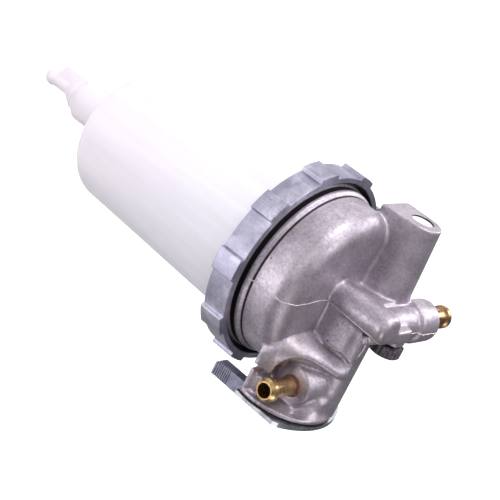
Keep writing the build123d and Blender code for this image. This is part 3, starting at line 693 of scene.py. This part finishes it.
def join_under(mesh, skin, deep):
    """Joins on a solid between a skin and its copy moved deep mm into the head."""
    rows, columns = skin.shape[:2]
    grid = np.arange(rows * columns).reshape(rows, columns)
    quads = np.stack([grid[:-1, :-1], grid[1:, :-1], grid[1:, 1:], grid[:-1, 1:]], axis=-1).reshape(-1, 4)
    under = skin - deep * OUT
    under[..., 2] = np.maximum(under[..., 2], BLOCK_BOTTOM)
    shell = np.concatenate([skin.reshape(-1, 3), under.reshape(-1, 3)])
    rim = np.r_[grid[0, :-1], grid[:-1, -1], grid[-1, :0:-1], grid[:0:-1, 0]]
    sides = np.stack([rim, np.roll(rim, -1), np.roll(rim, -1) + grid.size, rim + grid.size], axis=1)
    head = bmesh.new()
    head.from_mesh(mesh)
    made = [head.verts.new(point) for point in ((shell - SHIFT) * MM).tolist()]
    faces = np.concatenate([quads, quads[:, ::-1] + grid.size, sides])
    added = [head.faces.new([made[k] for k in face]) for face in faces]
    bmesh.ops.recalc_face_normals(head, faces=added)
    head.to_mesh(mesh)
    head.free()


def net_piece(name, points, body, kind, loop_rows=True):
    """A piece from a rows by columns array of points in mm about the bowl's axis, joined by four-sided faces.

    Its columns join up with themselves, and its rows too where they are a loop. Open ends are closed by the
    surface itself, which runs in to a point there.
    """
    rows, columns = points.shape[:2]
    row = np.arange(rows if loop_rows else rows - 1)
    a, b = np.meshgrid(row, np.arange(columns), indexing="ij")
    c, d = (a + 1) % rows, (b + 1) % columns
    corners = [a * columns + b, c * columns + b, c * columns + d, a * columns + d]
    faces = np.stack(corners, axis=-1).reshape(-1, 4)
    mesh = bpy.data.meshes.new(name)
    mesh.from_pydata(((points.reshape(-1, 3) - SHIFT) * MM).tolist(), [], faces.tolist())
    smooth(mesh)
    made = changed(mesh, "WELD", merge_threshold=0.000002)
    made.name = name
    return place_piece(name, made, body, kind)


def wander(along, seed, size):
    """A smooth wobble between -1 and 1 with lumps of the given size: noise read along a line."""
    return np.array([lumps.noise(Vector((v / size, seed * 7.3, 0.5))) for v in along])


def picked(skin, places):
    """Where the camera's lines of sight through places in the picture meet a piece, in mm about the axis."""
    tree = BVHTree.FromObject(skin, bpy.context.evaluated_depsgraph_get())
    hits = [tree.ray_cast(at(*EYE), Vector(way).normalized())[0] for way in sight(places)]
    if None in hits:
        raise RuntimeError("a picked place lies beside the piece")
    return [tuple(np.array(hit) / MM + SHIFT) for hit in hits]


def seam(name, skin, stops, width, height, seed):
    """A casting's flash line: an oval bead swept along a path that is laid on the skin.

    The path runs through the stops and is dropped onto the nearest point of the skin. Across it the section
    is (width cos a, height sin a), half of it sunk in the skin. Both sizes wander along the path and fall to
    nothing at its ends.
    """
    stops = np.array(stops, float)
    legs = np.r_[0, np.cumsum(np.linalg.norm(np.diff(stops, axis=0), axis=1))]
    along = np.arange(0, legs[-1], 0.25)
    line = np.stack([np.interp(along, legs, stops[:, k]) for k in range(3)], axis=1)
    tree = BVHTree.FromObject(skin, bpy.context.evaluated_depsgraph_get())
    found = [tree.find_nearest(at(*point)) for point in line]
    line = np.array([list(hit[0]) for hit in found]) / MM + SHIFT
    out = np.array([list(hit[1]) for hit in found])
    kernel = np.ones(7) / 7
    for field in (line, out):
        for k in range(3):
            field[:, k] = np.convolve(np.pad(field[:, k], 3, mode="edge"), kernel, mode="valid")
    ahead = np.gradient(line, axis=0)
    ahead /= np.linalg.norm(ahead, axis=1)[:, None] + 1e-9
    side = np.cross(ahead, out)
    side /= np.linalg.norm(side, axis=1)[:, None] + 1e-9
    line = line + side * (wander(along, seed, 3.0) * 0.25)[:, None]
    fade = np.clip(np.minimum(along, along[-1] - along) / 1.5, 0, 1)
    wide = width * (1 + 0.5 * wander(along, seed + 1, 1.3)) * fade
    tall = height * (1 + 0.8 * wander(along, seed + 2, 1.0)) * fade
    turn = np.linspace(0, 2 * np.pi, 10, endpoint=False)
    points = (line[:, None, :] + side[:, None, :] * (wide[:, None] * np.cos(turn))[:, :, None]
              + out[:, None, :] * (tall[:, None] * np.sin(turn))[:, :, None])
    return net_piece(name, points, "head", "flash", loop_rows=False)


def rounded(corners):
    """A closed outline with curves for corners: each has a radius, a height and its rounding's size in mm."""
    points = []
    for i, (r, z, size) in enumerate(corners):
        here = np.array([r, z])
        before = np.array(corners[i - 1][:2]) - here
        after = np.array(corners[(i + 1) % len(corners)][:2]) - here
        before, after = before / np.linalg.norm(before), after / np.linalg.norm(after)
        start, end = here + before * size, here + after * size
        points.append(start + before * 0.25)
        for t in np.linspace(0, 1, 6):
            points.append((1 - t) ** 2 * start + 2 * t * (1 - t) * here + t ** 2 * end)
        points.append(end + after * 0.25)
    return np.array(points)


def ring_section(outer, worn):
    """The ring nut's section where its outside has a given radius, with worn outer edges."""
    return rounded([(RING_OPENING_R, -RING_HEIGHT, 0.2), (outer, -RING_HEIGHT, worn), (outer, 0.0, worn),
                    (RING_MOUTH_R, 0.0, 0.15), (RING_BORE_R, -RING_MOUTH_DEEP, 0.1),
                    (RING_BORE_R, -RING_SHELF, 0.3), (RING_OPENING_R, -RING_SHELF, 0.2)])


def lug_steps(soft):
    """Angles round the ring nut, and the share of a lug's height at each, 1 / (1 + exp) at a lug's edges."""
    half = math.radians(LUG_ANGLE / 2)
    pitch = math.radians(360 / LUG_COUNT)
    near = np.linspace(-3.0, 3.0, 13) * soft
    plain = np.linspace(0.14, 0.86, 9)
    turns, heights = [], []
    for i in range(LUG_COUNT):
        middle = math.radians(LUG_FIRST - 90) + pitch * i
        for edge, sign in ((middle - half, 1), (middle + half, -1)):
            span = 2 * half if sign == 1 else pitch - 2 * half
            turns.extend(edge + near)
            heights.extend(1 / (1 + np.exp(-sign * near / soft * 3.2)))
            turns.extend(edge + span * plain)
            heights.extend(np.full(len(plain), 1.0 if sign == 1 else 0.0))
    return np.array(turns), np.array(heights)


# Operators


class SEPARATOR_OT_stage(bpy.types.Operator):
    """Floor, lights and camera"""

    bl_idname = "separator.stage"
    bl_label = "Stage"

    def execute(self, context):
        scene = context.scene
        scene.view_settings.view_transform = "Standard"
        self.lay_floor(scene)
        self.light_world(scene)
        self.hang_lamps(scene)
        self.set_camera(scene)
        return {"FINISHED"}

    def lay_floor(self, scene):
        """A pale paper floor that is near white to the camera and faint to what reflects it."""
        low = CAD_BOX[0][2] - FLOOR_DROP
        mesh = bpy.data.meshes.new("floor")
        corners = [(x, y, low) for x, y in ((-1, -1), (1, -1), (1, 1), (-1, 1))]
        mesh.from_pydata([(FLOOR_SIDE * x, FLOOR_SIDE * y, z) for x, y, z in corners], [], [(0, 1, 2, 3)])
        floor = bpy.data.objects.new("floor", mesh)
        scene.collection.objects.link(floor)
        paper, tree, shader, _ = new_material("white_paper")
        feed(shader, Base_Color=linear("F4F4F4"), Roughness=0.9)
        rays = add(tree, "LightPath").node.outputs
        other = add(tree, "Math", rays["Is Glossy Ray"], rays["Is Transmission Ray"], operation="MAXIMUM")
        faint = add(tree, "Math", other, FLOOR_FAINT, operation="MULTIPLY")
        level = add(tree, "Math", rays["Is Camera Ray"], FLOOR_GLOW, faint, operation="MULTIPLY_ADD")
        glow = add(tree, "Emission", WHITE, level)
        both = add(tree, "AddShader", shader.outputs[0], glow)
        feed(tree.nodes["Material Output"], Surface=both)
        mesh.materials.append(paper)

    def light_world(self, scene):
        """White to the camera, and a dim grey room to everything else."""
        world = bpy.data.worlds.new("studio")
        world.use_nodes = True
        tree = world.node_tree
        rays = add(tree, "LightPath").node.outputs
        level = add(tree, "Math", rays["Is Glossy Ray"], WORLD_FAINT, WORLD_GLOW, operation="MULTIPLY_ADD")
        level = add(tree, "Math", level, rays["Is Camera Ray"], operation="MAXIMUM")
        feed(tree.nodes["Background"], Color=WHITE, Strength=level)
        scene.world = world

    def hang_lamps(self, scene):
        """Square lamps in directions about the picture, all turned to the object's middle."""
        middle = Vector(LIT_MIDDLE)
        for name, way, size, power in LAMPS:
            way = Vector(AXES @ np.array(way)).normalized()
            reach = min(LAMP_FAR, (LAMP_LOW - middle.z) / way.z) if way.z < 0 else LAMP_FAR
            light = bpy.data.lights.new(name, "AREA")
            light.shape = "SQUARE"
            light.size = size
            light.energy = power
            lamp = bpy.data.objects.new(name, light)
            lamp.location = middle + way * reach
            lamp.rotation_mode = "QUATERNION"
            lamp.rotation_quaternion = (-way).to_track_quat("-Z", "Y")
            lamp.visible_camera = False
            scene.collection.objects.link(lamp)

    def set_camera(self, scene):
        """The camera that matches the photograph."""
        data = bpy.data.cameras.new("camera")
        camera = bpy.data.objects.new("camera", data)
        scene.collection.objects.link(camera)
        data.sensor_width = SENSOR
        data.lens = LENS
        data.clip_start = CLIP_START
        camera.matrix_world = Matrix.Translation(at(*EYE)) @ Matrix(AXES.tolist()).to_4x4()
        scene.camera = camera


class SEPARATOR_OT_castings(bpy.types.Operator):
    """Head with the soft edges of a casting"""

    bl_idname = "separator.castings"
    bl_label = "Castings"

    def execute(self, context):
        net = context.scene.separator_sizes.casting_net
        lobe, hollow = standing_out(LOBE_SEEN), standing_out(HOLLOW_SEEN)
        mesh = even_net(NODES["head_casting"].data.copy(), net)
        cut_back(mesh, lobe, LOBE_REACH, math.inf)
        join_under(mesh, lofted(lobe, 25, 90), LOBE_DEEP)
        cut_back(mesh, hollow, HOLLOW_REACH, HOLLOW_RIGHT)
        mesh = even_net(mesh, net)

        def general(points):
            crisp = (points[:, 0] > FLANGE_X) | (points[:, 2] < LIP_TOP) & (points[:, 2] > 0)
            return np.where(crisp, 0.2, 0.5)

        def flare(points):
            x, y, z = points.T
            inside = (x > FLARE_X[0]) & (x < FLARE_X[1]) & (y > FLARE_Y[0]) & (y < FLARE_Y[1])
            inside &= z > FLARE_LOW
            inside &= np.hypot(x - INLET_FACE[0], z - INLET_FACE[2]) > BOSS_R + BOSS_CLEAR
            return np.where(inside, 0.6, 0.0)

        rub(mesh, flare, 25)
        rub(mesh, general, 3)
        mesh = thinned(mesh, SKIN_TRIANGLES)
        mesh.name = "head_skin"
        smooth(mesh)
        piece = place_piece("head_skin", mesh, "head", "casting")
        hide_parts("head_casting")
        return {"FINISHED"}


class SEPARATOR_OT_ring(bpy.types.Operator):
    """Ring nut with crisp, slightly worn lug edges"""

    bl_idname = "separator.ring"
    bl_label = "Ring nut"

    def execute(self, context):
        """The surface is a section in (radius, height) carried round the axis.

        Its corners are curves, and its outer radius goes from recess to lug and back over about half a
        millimetre at each lug's edge.
        """
        worn = context.scene.separator_sizes.ring_edge / MM
        low, high = ring_section(RING_RECESS_R, worn), ring_section(RING_LUG_R, worn)
        turns, heights = lug_steps(worn / RING_LUG_R)
        radius = low[None, :, 0] * (1 - heights[:, None]) + high[None, :, 0] * heights[:, None]
        level = np.broadcast_to(low[None, :, 1], radius.shape)
        points = np.stack([radius * np.cos(turns)[:, None], radius * np.sin(turns)[:, None], level], axis=-1)
        piece = net_piece("ring_skin", points, "ring", "ring")
        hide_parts("ring_nut")
        return {"FINISHED"}


class SEPARATOR_OT_seams(bpy.types.Operator):
    """Flash lines where the casting's die halves met, and dried sealant at the nipples"""

    bl_idname = "separator.seams"
    bl_label = "Seams and sealant"

    def execute(self, context):
        sizes = context.scene.separator_sizes
        skin = bpy.data.objects["head_skin"]
        wide, tall = sizes.flash_width / MM / 2, sizes.flash_height / MM
        seam("flash_dome", skin, DOME_START + picked(skin, DOME_SEEN) + DOME_END, wide, tall, 1)
        for name, stops, wider, taller, seed in FLASH:
            seam(name, skin, stops, wider * wide, taller * tall, seed)
        self.smear("sealant_inlet", INLET_FACE, -1, 2)
        self.smear("sealant_outlet", OUTLET_FACE, 1, 5)
        return {"FINISHED"}

    def smear(self, name, middle, way, seed):
        """A squashed ring round a nipple whose reach and thickness wander with the angle."""
        turn = np.linspace(0, 2 * np.pi, 72, endpoint=False)
        round_it = np.linspace(0, 2 * np.pi, 12, endpoint=False)

        def wobble(size, number):
            places = [(math.cos(t) * size, math.sin(t) * size, number) for t in turn]
            return np.array([lumps.noise(Vector(place)) for place in places])

        reach = SEALANT_R + SEALANT_UNEVEN * wobble(1.6, seed)
        thick = SEALANT_THICK + SEALANT_UNEVEN * wobble(2.2, seed + 9)
        r = reach[:, None] + SEALANT_WIDE * np.cos(round_it)[None, :]
        depth = way * thick[:, None] * np.sin(round_it)[None, :]
        x, y, z = middle
        points = np.stack([x + r * np.cos(turn)[:, None], y + depth, z + r * np.sin(turn)[:, None]], axis=-1)
        net_piece(name, points, "head", "sealant")


class SEPARATOR_OT_finishes(bpy.types.Operator):
    """Finishes on the CAD nodes that stay"""

    bl_idname = "separator.finishes"
    bl_label = "Finishes"

    def execute(self, context):
        for node, kind in NODE_FINISH.items():
            dress(NODES[node], kind)
        return {"FINISHED"}


STEPS = [
    SEPARATOR_OT_stage, SEPARATOR_OT_castings, SEPARATOR_OT_ring, SEPARATOR_OT_seams, SEPARATOR_OT_finishes,
]


class SEPARATOR_PT_panel(bpy.types.Panel):
    """Lists the sizes, the colours and the steps in order"""

    bl_idname = "SEPARATOR_PT_panel"
    bl_label = "Fuel water separator"
    bl_space_type = "VIEW_3D"
    bl_region_type = "UI"
    bl_category = "Separator"

    def draw(self, context):
        column = self.layout.column()
        for group in (context.scene.separator_sizes, context.scene.separator_colours):
            for name in type(group).__annotations__:
                column.prop(group, name)
        for kind in STEPS:
            column.operator(kind.bl_idname)


CLASSES = [SeparatorSizes, SeparatorColours] + STEPS + [SEPARATOR_PT_panel]


def register():
    for kind in CLASSES:
        bpy.utils.register_class(kind)
    bpy.types.Scene.separator_sizes = bpy.props.PointerProperty(type=SeparatorSizes)
    bpy.types.Scene.separator_colours = bpy.props.PointerProperty(type=SeparatorColours)


def unregister():
    del bpy.types.Scene.separator_colours
    del bpy.types.Scene.separator_sizes
    for kind in reversed(CLASSES):
        bpy.utils.unregister_class(kind)


def main():
    """Registers the add-on and builds everything in order."""
    register()
    for kind in STEPS:
        space, name = kind.bl_idname.split(".")
        getattr(getattr(bpy.ops, space), name)()


if __name__ == "__main__":
    main()
